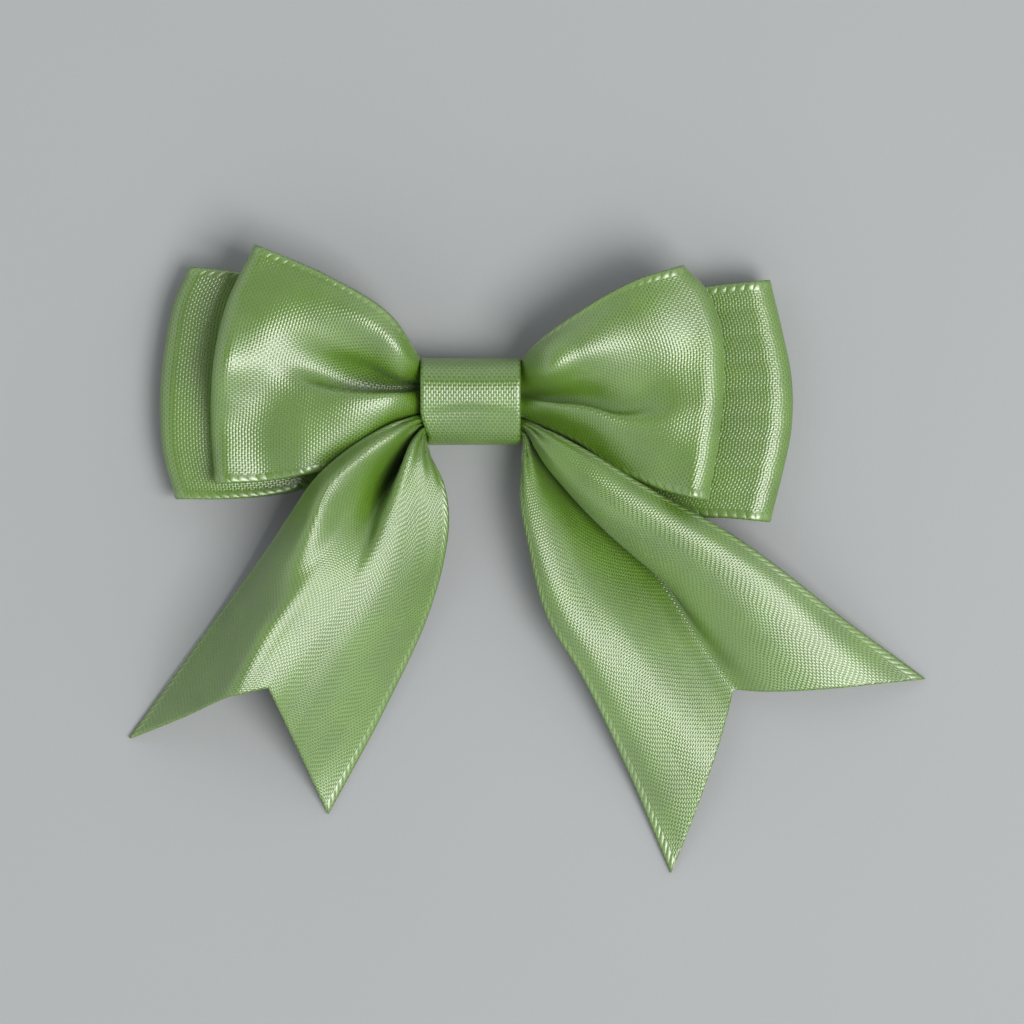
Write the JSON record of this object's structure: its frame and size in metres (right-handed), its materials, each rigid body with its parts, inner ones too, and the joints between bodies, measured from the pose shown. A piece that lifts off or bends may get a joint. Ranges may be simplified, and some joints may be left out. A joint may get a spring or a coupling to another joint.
{
  "type": "pre-made gift bow",
  "caption": "Double satin ribbon bow with layered loops, two swallow-tail ends and a narrow ribbon wrapped round its waist, for dressing gifts.",
  "frame": {"origin": "centre of the centre wrap's back face, which rests on the gift", "axes": "+Z out of the front of the bow, +X along the loops to the viewer's right, +Y towards the loops' upper edges, away from the tails"},
  "size_m": [0.0798, 0.063, 0.0107],
  "materials": {
    "satin_ribbon": "woven satin with a corded selvedge",
    "narrow_satin_ribbon": "woven satin",
    "thread": "twisted polyester",
    "hot_melt_glue": "waxy, translucent"
  },
  "bodies": {
    "knot_and_loops": {"front_loop_ribbon": "satin_ribbon", "rear_loop_ribbon": "satin_ribbon", "tail_waist": "satin_ribbon", "centre_wrap": "narrow_satin_ribbon", "gathering_thread": "thread", "front_lap_glue": "hot_melt_glue", "rear_lap_glue": "hot_melt_glue", "wrap_glue": "hot_melt_glue"},
    "left_tail": {"left_tail": "satin_ribbon"},
    "right_tail": {"right_tail": "satin_ribbon"}
  },
  "joints": [
    {"name": "left_tail_lift", "type": "hinge", "parent": "knot_and_loops", "child": "left_tail", "pos_m": [-0.0068, -0.0041, 0.0049], "axis": [-0.8838, 0.4679, 0], "range_deg": [0, 45], "stiffness_Nm_per_rad": 0.0004},
    {"name": "right_tail_lift", "type": "hinge", "parent": "knot_and_loops", "child": "right_tail", "pos_m": [0.0063, -0.0035, 0.0049], "axis": [-0.7894, -0.6139, 0], "range_deg": [0, 45], "stiffness_Nm_per_rad": 0.0004}
  ]
}
